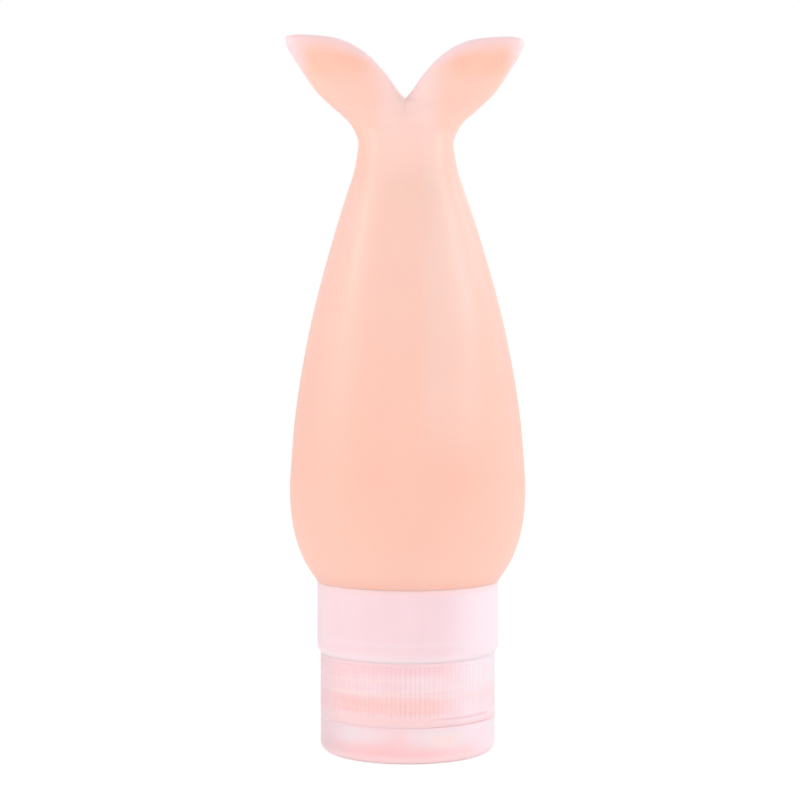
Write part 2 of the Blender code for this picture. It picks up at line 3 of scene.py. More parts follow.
import bpy
import numpy as np
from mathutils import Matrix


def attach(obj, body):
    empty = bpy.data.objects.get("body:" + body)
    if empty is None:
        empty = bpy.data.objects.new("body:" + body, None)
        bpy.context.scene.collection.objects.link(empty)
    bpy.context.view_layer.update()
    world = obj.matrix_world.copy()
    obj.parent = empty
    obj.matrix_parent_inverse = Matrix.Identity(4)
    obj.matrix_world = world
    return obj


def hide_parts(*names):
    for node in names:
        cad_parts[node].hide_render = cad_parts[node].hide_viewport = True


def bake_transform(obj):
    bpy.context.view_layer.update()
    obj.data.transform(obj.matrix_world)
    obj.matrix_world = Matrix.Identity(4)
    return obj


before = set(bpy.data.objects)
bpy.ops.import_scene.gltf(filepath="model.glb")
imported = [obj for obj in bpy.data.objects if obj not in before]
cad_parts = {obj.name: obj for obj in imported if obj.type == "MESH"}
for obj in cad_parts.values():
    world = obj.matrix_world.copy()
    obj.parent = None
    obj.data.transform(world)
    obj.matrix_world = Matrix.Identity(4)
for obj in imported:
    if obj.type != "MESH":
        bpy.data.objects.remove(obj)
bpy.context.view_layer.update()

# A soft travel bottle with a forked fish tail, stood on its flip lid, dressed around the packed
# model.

mm = 0.001


# Curves and grids

def smoothCurve(points, count):
    # Catmull-Rom curve through the points: each stretch is a cubic whose end slopes are half the
    # step between its neighbours. It is sampled evenly along its length.
    p = np.asarray(points, float)
    p = np.vstack([2 * p[0] - p[1], p, 2 * p[-1] - p[-2]])
    t = np.linspace(0, 1, 32, endpoint=False)[None, :, None]
    a, b, c, d = (p[i:len(p) - 3 + i, None, :] for i in range(4))
    fine = 0.5 * (2 * b + (c - a) * t + (2 * a - 5 * b + 4 * c - d) * t ** 2
                  + (3 * b - a - 3 * c + d) * t ** 3)
    fine = np.vstack([fine.reshape(-1, p.shape[1]), p[-2]])
    length = np.concatenate([[0], np.cumsum(np.linalg.norm(np.diff(fine, axis=0), axis=1))])
    wanted = np.linspace(0, length[-1], count)
    return np.stack([np.interp(wanted, length, column) for column in fine.T], axis=1)


def easedTable(table, x):
    # Cubic Hermite through (x, value) rows; the slope at a row is the mean of its two neighbours'.
    xs, ys = np.array(table, float).T
    slopes = np.gradient(ys, xs)
    i = np.clip(np.searchsorted(xs, x) - 1, 0, len(xs) - 2)
    gap = xs[i + 1] - xs[i]
    t = np.clip((x - xs[i]) / gap, 0, 1)
    return ((2 * t ** 3 - 3 * t ** 2 + 1) * ys[i] + (t ** 3 - 2 * t ** 2 + t) * gap * slopes[i]
            + (3 * t ** 2 - 2 * t ** 3) * ys[i + 1] + (t ** 3 - t ** 2) * gap * slopes[i + 1])


def step(x, low, high):
    # Smoothstep: 0 below low, 1 above high, 3t² - 2t³ between.
    t = np.clip((x - low) / (high - low), 0, 1)
    return t * t * (3 - 2 * t)


def roundedLoop(corners, arcSteps):
    # A closed (radius, height) outline whose corners (r, z, round) become arcs: each arc is the
    # quadratic blend of the corner and the two points that lie one round away from it.
    pts = np.array([c[:2] for c in corners], float)
    size = np.array([c[2] for c in corners], float)
    before, after = np.roll(pts, 1, 0) - pts, np.roll(pts, -1, 0) - pts
    before /= np.linalg.norm(before, axis=1)[:, None]
    after /= np.linalg.norm(after, axis=1)[:, None]
    t = np.linspace(0, 1, arcSteps + 1)[None, :, None]
    start, end = pts + before * size[:, None], pts + after * size[:, None]
    arcs = (1 - t) ** 2 * start[:, None] + 2 * t * (1 - t) * pts[:, None] + t ** 2 * end[:, None]
    return np.vstack([arc if r > 0 else arc[:1] for arc, r in zip(arcs, size)])


def gridQuads(index):
    # The four corners of every cell of a (..., rows, columns) array of point numbers.
    corners = [index[..., :-1, :-1], index[..., :-1, 1:], index[..., 1:, 1:], index[..., 1:, :-1]]
    return np.stack(corners, -1).reshape(-1, 4)


def gridMesh(name, grid, wrapRows=False, wrapColumns=False, sharpAngle=35):
    # Quads between neighbouring points of a (rows, columns, 3) array; touching points are merged,
    # which closes poles and seams.
    rows, columns = grid.shape[:2]
    index = np.arange(rows * columns).reshape(rows, columns)
    if wrapRows:
        index = np.vstack([index, index[:1]])
    if wrapColumns:
        index = np.hstack([index, index[:, :1]])
    return meshFrom(name, grid.reshape(-1, 3), gridQuads(index), sharpAngle)[0]


def meshFrom(name, points, quads, sharpAngle=35):
    # Merges points that lie closer than a fifth of a micrometre, drops repeated corners and faces
    # the mesh outwards. The second result is each point's place in the merged mesh.
    key = np.round(points / (0.0002 * mm)).astype(np.int64)
    first, order = np.unique(key, axis=0, return_index=True, return_inverse=True)[1:]
    order = order.reshape(-1)
    quads = order[quads]
    distinct = np.array([len(set(q)) for q in quads.tolist()])
    short = [list(dict.fromkeys(q)) for q in quads[distinct == 3].tolist()]
    mesh = bpy.data.meshes.new(name)
    mesh.from_pydata(points[first].tolist(), [], quads[distinct == 4].tolist() + short)
    mesh.validate()
    if signedVolume(mesh) < 0:
        mesh.flip_normals()
    mesh.shade_smooth()
    mesh.set_sharp_from_angle(angle=math.radians(sharpAngle))
    return mesh, order


def signedVolume(mesh):
    # Sum over triangles of (a · b × c) / 6, which is negative when the faces point inwards.
    mesh.calc_loop_triangles()
    tris = np.empty(len(mesh.loop_triangles) * 3, np.int32)
    mesh.loop_triangles.foreach_get("vertices", tris)
    co = np.empty(len(mesh.vertices) * 3)
    mesh.vertices.foreach_get("co", co)
    a, b, c = co.reshape(-1, 3)[tris.reshape(-1, 3)].transpose(1, 0, 2)
    return np.einsum("ij,ij->", a, np.cross(b, c)) / 6


def linked(name, data):
    # A new object at the origin, linked to the scene.
    thing = bpy.data.objects.new(name, data)
    bpy.context.collection.objects.link(thing)
    return thing


def addPiece(mesh, finish, body, slot, *nodes):
    # Puts a finished mesh in the scene, in the place of its CAD nodes.
    piece = linked(mesh.name, mesh)
    mesh.materials.append(finish.material)
    if body:
        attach(piece, body)
    if nodes:
        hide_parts(*nodes)
    return piece


def turnedGrid(profile, columns, shape=None):
    # Each profile point (r, z) is carried round the Z axis: (r cos a, r sin a, z). shape(r, z, a)
    # may change the radius.
    angle = np.linspace(0, math.tau, columns, endpoint=False)[None, :]
    r, z, angle = np.broadcast_arrays(profile[:, :1], profile[:, 1:], angle)
    if shape is not None:
        r = shape(r, z, angle)
    return np.stack([r * np.cos(angle), r * np.sin(angle), z], axis=-1)


def turnedRing(name, corners, columns, arcSteps=3):
    # A closed outline with rounded corners, carried round the Z axis.
    grid = turnedGrid(roundedLoop(corners, arcSteps), columns)
    return gridMesh(name, grid * mm, True, True)


# Shader maths

class Wire:
    # One output of a shader tree; sums, products and the like of wires add Math nodes.
    def __init__(self, finish, socket):
        self.finish, self.socket = finish, socket

    def math(self, operation, *values):
        return self.finish.add("ShaderNodeMath", {"operation": operation}, values)

    def other(self, output):
        # another output of the same node
        return Wire(self.finish, self.socket.node.outputs[output])

    def __add__(self, other):
        return self.math("ADD", self, other)

    def __sub__(self, other):
        return self.math("SUBTRACT", self, other)

    def __rsub__(self, other):
        return self.math("SUBTRACT", other, self)

    def __mul__(self, other):
        return self.math("MULTIPLY", self, other)

    def __truediv__(self, other):
        return self.math("DIVIDE", self, other)

    def __rtruediv__(self, other):
        return self.math("DIVIDE", other, self)

    def __abs__(self):
        return self.math("ABSOLUTE", self)

    __radd__ = __add__
    __rmul__ = __mul__


class Finish:
    # A Principled material and the few moves that fill its tree.
    def __init__(self, name, **constants):
        self.material = bpy.data.materials.new(name)
        self.material.use_nodes = True
        self.tree = self.material.node_tree
        self.shader = self.tree.nodes["Principled BSDF"]
        for socket, value in constants.items():
            self.shader.inputs[socket.replace("_", " ")].default_value = value

    def add(self, kind, settings=None, values=(), output=0):
        node = self.tree.nodes.new(kind)
        for key, value in (settings or {}).items():
            if key == "stops":
                self.setStops(node.color_ramp, value)
            else:
                setattr(node, key, value)
        pairs = values.items() if isinstance(values, dict) else enumerate(values)
        for socket, value in pairs:
            if isinstance(value, Wire):
                self.tree.links.new(value.socket, node.inputs[socket])
            else:
                node.inputs[socket].default_value = value
        return Wire(self, node.outputs[output])

    def setStops(self, ramp, stops):
        while len(ramp.elements) > 1:
            ramp.elements.remove(ramp.elements[-1])
        ramp.elements[0].position = stops[0][0]
        ramp.elements[0].color = tone(stops[0][1])
        for position, shade in stops[1:]:
            ramp.elements.new(position).color = tone(shade)

    def feed(self, socket, wire):
        self.tree.links.new(wire.socket, self.shader.inputs[socket])

    def place(self):
        return self.add("ShaderNodeTexCoord", output="Object")

    def millimetres(self, at):
        # x, y and z of a place
        split = self.add("ShaderNodeSeparateXYZ", values=[at])
        return [split.other(i) * (1 / mm) for i in range(3)]

    def distance(self, x, y):
        # from the Z axis
        return self.add("ShaderNodeMath", {"operation": "SQRT"}, [x * x + y * y])

    def rise(self, value, low, high, start=0.0, end=1.0):
        # smooth step of a value from low to high
        return self.add("ShaderNodeMapRange", {"interpolation_type": "SMOOTHSTEP"},
                        {0: value, 1: low, 2: high, 3: start, 4: end})

    def bump(self, value, middle, halfWidth, soft):
        # 1 within halfWidth of the middle, falling smoothly to 0 over soft
        return self.rise(abs(value - middle), halfWidth, halfWidth + soft, 1.0, 0.0)

    def noise(self, at, scale, detail, stretch=None):
        if stretch:
            at = self.add("ShaderNodeMapping", values={0: at, 3: stretch})
        return self.add("ShaderNodeTexNoise",
                        values={"Vector": at, "Scale": scale, "Detail": detail})

    def mix(self, share, first, second):
        # from the first colour to the second, as the share goes from 0 to 1
        first = first if isinstance(first, Wire) else tone(first)
        second = second if isinstance(second, Wire) else tone(second)
        return self.add("ShaderNodeMix", {"data_type": "RGBA"},
                        {0: share, 6: first, 7: second}, output=2)

    def relief(self, height, distance):
        bump = self.add("ShaderNodeBump", values={"Height": height, "Distance": distance})
        self.feed("Normal", bump)


def tone(display):
    # Linear colour of a display colour in steps of 255.
    share = np.array(display, float) / 255
    linear = np.where(share <= 0.04045, share / 12.92, ((share + 0.055) / 1.055) ** 2.4)
    return (*linear.tolist(), 1.0)


# Sizes that several pieces share, in millimetres, as the solids have them
cap = {
    "radius": 16.8, "lidHeight": 6.995, "floor": 7.003, "skirtTop": 19.1, "skirtBore": 15.3,
    "edgeCut": 0.012, "hingeTurn": math.radians(128), "hingeLine": 7.0, "padFace": 17.0,
    "padHalf": 4.5, "padHeight": 2.6, "padTurnEase": 0.012, "padRiseEase": 0.05, "lead": 4.1,
}
neck = {"bore": 10.8, "radius": 13.2, "rim": 11.05, "top": 31.25, "sleeve": 13.5}


# Silicone body

bottle = {
    "wall": 2.2, "shoulder": 32.73, "shoulderRadius": 17.43, "shoulderRound": 0.05,
    "belly": 51.5, "bellyRadius": 22.65, "waist": 116.0, "waistHalf": 9.08,
    "tailRise": 21.296, "notchRise": 9.1, "notchRound": 5.5, "notchShare": 5 / 18,
    "tailHalfSpan": 22.85, "lean": math.radians(0.6), "domeGap": 2.0, "domeHeight": 9.0,
    "sleeveRadius": 15.6, "sleeveFoot": 20.75, "sleeveCut": 0.3, "grooveRadius": 14.1,
    "grooveFoot": 26.35, "grooveTop": 28.45, "footFlat": 0.06, "footCut": 0.015,
    # (height, width) shares along each stretch of the outline
    "lower": ((0, 0), (0.2, 0.46), (0.4, 0.745), (0.61, 0.915), (0.82, 0.99), (1, 1)),
    "upper": ((0, 1), (0.186, 0.929), (0.365, 0.799), (0.544, 0.614), (0.722, 0.377),
              (0.84, 0.199), (0.925, 0.066), (1, 0)),
    "flukeOuter": ((0, 0), (0.085, 0.02), (0.215, 0.135), (0.357, 0.38), (0.5, 0.603),
                   (0.71, 0.822), (0.855, 0.957), (0.925, 0.995), (0.97, 0.995)),
    "flukeInner": ((0, 0), (0.118, 0.053), (0.37, 0.147), (0.622, 0.268), (0.811, 0.407),
                   (0.93, 0.565), (0.975, 0.76), (0.98, 0.9), (0.96, 0.965)),
    "flukeTip": (0.975, 0.985),
    # (share of the way up, front-to-back depth) of the egg and of the tail
    "depth": ((0, 1), (0.25, 0.985), (0.5, 0.95), (0.75, 0.9), (1, 0.86)),
    "flukeDepth": ((0, 1), (0.12, 0.86), (0.25, 0.7), (0.45, 0.55), (0.7, 0.44), (0.88, 0.36),
                   (0.96, 0.25), (1, 0)),
    "lowerRows": 24, "upperRows": 72, "tailRows": 91, "domeRows": 10, "columns": 40,
    # widths of the pale rims, painted light through the fluke's thin edges: inside by the notch and
    # by the tip, and outside
    "innerRim": (1.5, 6.0), "innerRimFrom": (3, 13), "outerRim": 0.5,
}


def bodyRows():
    # Rows of (outer x, outer z, inner x, inner z, half depth, closing angle), up the outside.
    b = bottle
    widening = b["bellyRadius"] - b["shoulderRadius"]
    narrowing = b["bellyRadius"] - b["waistHalf"]
    lower = [(b["shoulderRadius"] + w * widening, b["shoulder"] + h * (b["belly"] - b["shoulder"]))
             for h, w in b["lower"]]
    upper = [(b["waistHalf"] + w * narrowing, b["belly"] + h * (b["waist"] - b["belly"]))
             for h, w in b["upper"]]
    sides = np.vstack([smoothCurve(lower, b["lowerRows"])[:-1], smoothCurve(upper, b["upperRows"])])
    share = np.clip((sides[:, 1] - b["belly"]) / (b["waist"] - b["belly"]), 0, 1)
    depth = sides[:, 0] * easedTable(b["depth"], share)
    quarter = np.full(len(sides), math.pi / 2)
    rows = np.stack([sides[:, 0], sides[:, 1], 0 * depth, sides[:, 1], depth, quarter], axis=1)
    return rows, tailRows(depth[-1])


def tailRows(waistDepth):
    # The outer points climb the fluke's outer edge, the inner ones the middle plane to the notch
    # and then the fluke's inner edge. The section closes from a half to a whole ellipse on the way.
    b = bottle
    notch, top = b["waist"] + b["notchRise"], b["waist"] + b["tailRise"]
    tip = (b["flukeTip"][1] * b["tailHalfSpan"], b["waist"] + b["flukeTip"][0] * b["tailRise"])
    widening = b["tailHalfSpan"] - b["waistHalf"]
    outer = [(b["waistHalf"] + w * widening, b["waist"] + h * b["tailRise"])
             for h, w in b["flukeOuter"]]
    edge = [(w * b["tailHalfSpan"], notch + h * (top - notch)) for h, w in b["flukeInner"]]
    count = b["tailRows"]
    notchRow = round((count - 1) * b["notchShare"])
    outer = smoothCurve([*outer, tip], count)
    middle = np.zeros((notchRow, 2))
    middle[:, 1] = np.linspace(b["waist"], notch, notchRow, endpoint=False)
    inner = np.vstack([middle, smoothCurve([*edge, tip], count - notchRow)])
    share = np.linspace(0, 1, count)
    depth = waistDepth * np.maximum(easedTable(b["flukeDepth"], share), 0)
    depth[-1] = 0
    closing = np.clip((inner[:, 1] - (notch - b["notchRound"])) / b["notchRound"], 0, 1)
    angle = math.pi / 2 + np.arcsin(closing)
    angle[notchRow:] = math.pi
    return np.stack([*outer.T, *inner.T, depth, angle], axis=1)


def hollowRows(sides):
    # The inside: a dome whose radius is r · √(1 - t²), then the wall's inner face downwards.
    b = bottle
    domeTop = b["waist"] - b["domeGap"]
    keep = (sides[:, 1] > neck["top"] + b["wall"]) & (sides[:, 1] < domeTop - b["domeHeight"])
    wall = sides[keep][::2]
    wall = np.stack([wall[:, 0] - b["wall"], wall[:, 1], 0 * wall[:, 1], wall[:, 1],
                     wall[:, 4] - b["wall"], wall[:, 5]], axis=1)
    last = wall[-1]
    rise = np.linspace(0, 1, b["domeRows"])[1:]
    shrink = np.sqrt(1 - rise ** 2)
    z = last[1] + (domeTop - last[1]) * rise
    dome = np.stack([last[0] * shrink, z, 0 * z, z, last[4] * shrink, 0 * z + math.pi / 2], axis=1)
    return np.vstack([dome[::-1], wall[::-1]])


def sleeveRows():
    # Round rows down the sleeve with the groove for the insert's barb, and up to the shoulder.
    b = bottle
    bore, sleeve, foot = neck["sleeve"], b["sleeveRadius"], b["sleeveFoot"]
    rim, shoulder = b["shoulderRadius"], b["shoulder"]
    outline = [(bore, neck["top"]), (bore, b["grooveTop"]), (b["grooveRadius"], b["grooveTop"]),
               (b["grooveRadius"], b["grooveFoot"]), (bore, b["grooveFoot"]), (bore, foot),
               (sleeve - b["sleeveCut"], foot), (sleeve, foot + b["sleeveCut"]),
               (sleeve, shoulder), (rim - b["footFlat"], shoulder),
               (rim - b["footCut"], shoulder + b["footCut"])]
    r, z = np.array(outline, float).T
    return np.stack([r, z, 0 * z, z, r, 0 * z + math.pi / 2], axis=1)


def leaned(points):
    # Bends the narrow end to the left by an angle that grows with the height above the belly.
    b = bottle
    reach = b["waist"] - b["belly"]
    rise = np.maximum(points[..., 2] - b["belly"], 0)
    share = np.minimum(rise / reach, 1)
    angle = b["lean"] * share
    shift = b["lean"] * np.where(share < 1, rise * share / 2, rise - reach / 2)
    x, y, z = np.moveaxis(points, -1, 0)
    return np.stack([x * np.cos(angle) - shift, y, z - x * np.sin(angle)], axis=-1)


def siliconeBody():
    # Every row is O + (I - O) (1 - cos a) / (1 - cos A) across and depth · sin a front to back,
    # where O and I are its outer and inner points and A its closing angle.
    b = bottle
    sides, tail = bodyRows()
    sides[0, [1, 3]] += b["shoulderRound"]
    rows = np.vstack([hollowRows(sides), sleeveRows(), sides[:-1], tail])
    outX, outZ, inX, inZ, depth, closing = rows.T[:, :, None]
    turn = closing * np.linspace(-1, 1, 2 * b["columns"] + 1)
    across = (1 - np.cos(turn)) / (1 - np.cos(closing))
    x = outX + (inX - outX) * across
    z = outZ + (inZ - outZ) * across
    y = -depth * np.sin(turn)
    x[np.abs(x) < 1e-9] = 0  # so that both halves meet in the middle plane
    right = np.stack([x, y, z], axis=-1)
    halves = np.stack([right, (right * np.array([-1, 1, 1]))[:, ::-1]])
    index = np.arange(halves.size // 3).reshape(halves.shape[:3])
    points = leaned(halves).reshape(-1, 3) * mm
    mesh, order = meshFrom("siliconeBody", points, gridQuads(index))
    # How far each point lies from the rims of its row, as shares of the rims' widths. Only whole
    # ellipses, whose closing angle is near π, have an inner rim.
    length = np.hypot(inX - outX, inZ - outZ)
    narrow, wide = b["innerRim"]
    innerRim = narrow + (wide - narrow) * step(inX, *b["innerRimFrom"])
    fromInner = np.where(closing > 3, length * (1 - across) / innerRim, 1)
    away = np.minimum(length * across / b["outerRim"], fromInner)
    thick = np.stack([away, away[:, ::-1]]).reshape(-1).astype(np.float32)
    values = np.zeros(len(mesh.vertices), np.float32)
    np.maximum.at(values, order, thick)
    layer = mesh.attributes.new("flukeThickness", "FLOAT", "POINT")
    layer.data.foreach_set("value", values)
    return mesh


siliconeLook = {
    # height in mm and colour, from the collar to the tail; the darker first step is painted shade
    # along the collar
    "climb": ((32.8, (253, 192, 175)), (35.5, (254, 199, 182)), (54, (254, 195, 177)),
              (70, (254, 198, 181)), (88, (254, 202, 187)), (108, (254, 206, 192)),
              (120, (254, 212, 203)), (127, (254, 218, 212))),
    "flukeMiddle": (254, 196, 175), "flukeRoot": (255, 217, 211), "flukeRimLight": (254, 217, 221),
    "rootSideShade": (254, 199, 182), "highlight": (254, 215, 205), "flankShade": (250, 188, 172),
    "speckle": (249, 194, 176), "seam": (255, 219, 208),
    # A rise goes from one place to another, and a band has a middle, a half width and a soft edge,
    # all in mm. Scales are per metre.
    "flukeRise": (121, 132), "flukeSide": (3, 10.5), "tipFall": (22.5, 17.5),
    "rootShadeBand": (118, 6, 7), "rootShadeSideRise": (3, 8), "highlightBand": (8, 2.5, 4.5),
    "highlightRise": (52, 72), "highlightFall": (136, 118), "highlightSlant": 2.5, "flankShadeFacing": (0.72, 0.92),
    "flankShadeRise": (50, 65), "flankShadeFall": (122, 114), "seamBand": (0, 0.05, 0.3),
    "seamRise": (33.5, 36), "mattRise": (95, 60), "cloudScale": 45, "grainScale": 900,
}


def siliconeFinish():
    # The colour climbs from the collar to the tail, with painted shade along the collar. Paler
    # flukes with rims paler still, painted light through their thin edges, painted light by the
    # notch, painted shade at the sides of the tail's root, a painted highlight stripe, painted
    # shade on the flanks, faint clouds and the moulding seam lie over it.
    c = siliconeLook
    f = Finish("softSilicone", Subsurface_Weight=0.3, Subsurface_Scale=0.004,
               Subsurface_Radius=(1.0, 0.55, 0.42), IOR=1.42, Sheen_Weight=0.05)
    at = f.place()
    x, y, z = f.millimetres(at)
    side = abs(x)
    low, high = c["climb"][0][0], c["climb"][-1][0]
    stops = [((h - low) / (high - low), shade) for h, shade in c["climb"]]
    climb = f.add("ShaderNodeValToRGB", {"stops": stops}, [(z - low) / (high - low)])
    thick = f.add("ShaderNodeAttribute", {"attribute_name": "flukeThickness"}, output="Fac")
    # Paler towards the middle of the tail: painted light against the shade of the notch's crease
    fluke = f.mix(f.rise(side, *c["flukeSide"]), c["flukeRoot"], c["flukeMiddle"])
    # The rims are paler: painted light shining through the fluke's thin edges
    fluke = f.mix(f.rise(thick, 0, 1) * f.rise(side, *c["tipFall"]), c["flukeRimLight"], fluke)
    tint = f.mix(f.rise(z, *c["flukeRise"]), climb, fluke)
    # The sides of the tail's root are darker: painted shade
    root = f.bump(z, *c["rootShadeBand"]) * f.rise(side, *c["rootShadeSideRise"])
    tint = f.mix(root * 0.75, tint, c["rootSideShade"])
    # A painted highlight stripe down the right of the body
    slant = z + c["highlightSlant"] * x
    highlight = f.bump(x, *c["highlightBand"]) * f.rise(z, *c["highlightRise"]) * f.rise(slant, *c["highlightFall"])
    tint = f.mix(highlight * 0.45, tint, c["highlight"])
    # Painted shade where the surface turns sideways, on the flanks
    normal = f.add("ShaderNodeTexCoord", output="Normal")
    facing = abs(f.add("ShaderNodeSeparateXYZ", values=[normal], output="X"))
    flankShade = f.rise(facing, *c["flankShadeFacing"])
    flankShade = flankShade * f.rise(z, *c["flankShadeRise"]) * f.rise(z, *c["flankShadeFall"])
    tint = f.mix(flankShade * 0.4, tint, c["flankShade"])
    cloud = f.noise(at, c["cloudScale"], 3)
    tint = f.mix(f.rise(cloud, 0.45, 0.8) * 0.3, tint, c["speckle"])
    seam = f.bump(y, *c["seamBand"]) * f.rise(z, *c["seamRise"])
    tint = f.mix(seam * 0.35, tint, c["seam"])
    f.feed("Base Color", tint)
    grain = f.noise(at, c["grainScale"], 2)
    f.feed("Roughness", 0.29 + 0.06 * cloud + 0.04 * grain + 0.12 * f.rise(z, *c["mattRise"]))
    f.relief(grain * 0.3 + seam * 0.9 + cloud, 0.03 * mm)
    return f


print("silicone body")
addPiece(siliconeBody(), siliconeFinish(), "bottle", "body_silicone", "bottle_body")


# Collar

collar = {
    "radius": 17.4, "inner": 15.9, "foot": 19.08, "top": 32.72, "lip": 20.45, "lipBore": 13.5,
    "footInner": 16.815, "footRise": 0.95, "recess": 19.16, "rimRound": 0.03, "columns": 240,
    "milk": (245, 217, 222), "shade": (240, 210, 216), "litFromRight": (245, 240, 250),
    "footLight": (244, 225, 231), "rimLight": (252, 214, 212),
    # rises, bands and scales as for the silicone
    "litFromRightRise": (3, 17), "footFall": (21.2, 19.4), "footLightLine": (22.6, 0.1, 0.5),
    "rimLightRise": (31.2, 32.6), "flowScale": 160, "cloudScale": 70, "grainScale": 1500,
}


def collarRing():
    # Turned from its outline, (r cos a, r sin a, z). The foot leans out from the cap's wall to the
    # full radius.
    c = collar
    corners = [(c["footInner"], c["foot"], 0.015), (c["radius"], c["foot"] + c["footRise"], 0.5),
               (c["radius"], c["top"], c["rimRound"]), (c["inner"], c["top"], 0.25),
               (c["inner"], c["lip"], 0), (c["lipBore"], c["lip"], 0),
               (c["lipBore"], c["recess"], 0.2), (c["footInner"] - 0.02, c["recess"], 0.01)]
    return turnedRing("collarRing", corners, c["columns"], 5)


def milkyFinish(name):
    # Slightly translucent plastic, which all the parts below the bottle share.
    return Finish(name, Subsurface_Weight=0.4, Subsurface_Scale=0.001,
                  Subsurface_Radius=(1.0, 0.8, 0.8), IOR=1.46)


def collarFinish():
    c = collar
    f = milkyFinish("milkyCollar")
    at = f.place()
    x, _, z = f.millimetres(at)
    flow = f.noise(at, c["flowScale"], 3, (1, 1, 0.06))
    cloud = f.noise(at, c["cloudScale"], 2)
    share = f.rise(flow, 0.35, 0.75) * 0.5 + f.rise(cloud, 0.4, 0.8) * 0.4
    tint = f.mix(share, c["milk"], c["shade"])
    # Paler towards the right: painted light from the right
    tint = f.mix(f.rise(x, *c["litFromRightRise"]) * 0.45, tint, c["litFromRight"])
    # The foot, which faces down, is lifted with painted light, with a faint paler line of the same
    # colour above it
    tint = f.mix(f.rise(z, *c["footFall"]) * 0.8, tint, c["footLight"])
    tint = f.mix(f.bump(z, *c["footLightLine"]) * 0.3, tint, c["footLight"])
    # The top rim is lifted with painted light against the shade under the body's overhang
    tint = f.mix(f.rise(z, *c["rimLightRise"]) * 0.55, tint, c["rimLight"])
    f.feed("Base Color", tint)
    grain = f.noise(at, c["grainScale"], 2)
    f.feed("Roughness", 0.33 + 0.08 * cloud + 0.05 * grain)
    f.relief(flow * 0.8 + grain * 0.2, 0.02 * mm)
    return f


print("collar")
addPiece(collarRing(), collarFinish(), "bottle", "collar_plastic", "collar_ring")


# Neck insert with its screw thread

insert = {
    "flange": 15.0, "flangeFoot": 16.65, "flangeTop": 18.75, "barb": 13.8, "barbFoot": 26.65,
    "barbTop": 28.15, "columns": 160,
    "look": {"light": (250, 226, 228), "dark": (246, 212, 216), "rough": 0.32, "roughSpan": 0.1,
             "cloudScale": 90, "grainScale": 1200, "depth": 0.01},
}
thread = {
    "depth": 1.2, "root": 0.15, "halfWidth": 0.8, "crest": 0.35, "fade": 0.6, "perTurn": 120,
    "start": 12.2, "phase": math.radians(150), "neckTurns": 0.95, "capTurns": 0.9, "capDrop": 2.2,
}


def neckInsert():
    # A tube turned from its outline, (r cos a, r sin a, z), with a flange and a barb.
    s = insert
    bore, radius, foot, top = neck["bore"], neck["radius"], neck["rim"], neck["top"]
    corners = [(bore, foot, 0.2), (radius, foot, 0.5), (radius, s["flangeFoot"], 0.15),
               (s["flange"], s["flangeFoot"], 0.3), (s["flange"], s["flangeTop"], 0.3),
               (radius, s["flangeTop"], 0), (radius, s["barbFoot"], 0),
               (s["barb"], s["barbFoot"], 0.15), (radius, s["barbTop"], 0), (radius, top, 0.5),
               (bore, top, 0.3)]
    return turnedRing("neckInsert", corners, s["columns"])


def helix(name, radius, depth, start, turns, phase):
    # A ridge along a right-handed helix: at turn t the point is (R cos t, R sin t,
    # start + lead · t / 2π). Its trapezoid section stands depth proud of R and sinks into the wall
    # over the first and last tenth of a turn.
    s = thread
    t = np.linspace(0, turns * math.tau, int(turns * s["perTurn"]))
    fade = np.minimum(step(t, 0, s["fade"]), step(t[-1] - t, 0, s["fade"]))[:, None]
    sink = -math.copysign(s["root"], depth)
    across = np.array([sink, depth, depth, sink])
    along = np.array([-s["halfWidth"], -s["crest"], s["crest"], s["halfWidth"]])
    r = radius + sink + (across - sink) * fade
    z = start + cap["lead"] * t[:, None] / math.tau + along * (0.3 + 0.7 * fade)
    a = t[:, None] + phase
    ring = np.stack([r * np.cos(a), r * np.sin(a), z], axis=-1)
    ends = ring[[0, -1]].mean(axis=1, keepdims=True).repeat(4, axis=1)
    grid = np.vstack([ends[:1], ring, ends[1:]])
    return gridMesh(name, grid * mm, wrapColumns=True)


def cloudyFinish(f, look):
    # Two close shades and the gloss follow a soft cloud, over a fine grain.
    at = f.place()
    cloud = f.noise(at, look["cloudScale"], 2)
    f.feed("Base Color", f.mix(cloud, look["light"], look["dark"]))
    f.feed("Roughness", look["rough"] + look["roughSpan"] * cloud)
    f.relief(f.noise(at, look["grainScale"], 2), look["depth"] * mm)
    return f


print("neck insert")
clearInsert = cloudyFinish(milkyFinish("clearInsert"), insert["look"])
addPiece(neckInsert(), clearInsert, "bottle", "insert_plastic", "neck_insert")
neckThread = helix("neckThread", neck["radius"], thread["depth"], thread["start"],
                   thread["neckTurns"], thread["phase"])
addPiece(neckThread, clearInsert, "bottle", "insert_plastic")


# Gasket

gasket = {
    "inner": neck["bore"], "outer": 15.0, "foot": 8.75, "top": 10.75, "columns": 120,
    "footRound": 0.3, "topRound": 0.3,
    "look": {"light": (252, 198, 182), "dark": (248, 188, 170), "rough": 0.45, "roughSpan": 0.12,
             "cloudScale": 120, "grainScale": 2000, "depth": 0.015},
}


def flatRing(name, ring):
    # A rectangle with rounded corners, turned round the Z axis.
    foot, top = (ring["foot"], ring["footRound"]), (ring["top"], ring["topRound"])
    corners = [(ring["inner"], *foot), (ring["outer"], *foot), (ring["outer"], *top),
               (ring["inner"], *top)]
    return turnedRing(name, corners, ring["columns"])


print("gasket")
peachGasket = Finish("peachGasket", Subsurface_Weight=0.3, Subsurface_Scale=0.002)
addPiece(flatRing("gasketRing", gasket), cloudyFinish(peachGasket, gasket["look"]), "liner",
         "gasket_silicone", "neck_gasket")


# Screw cap

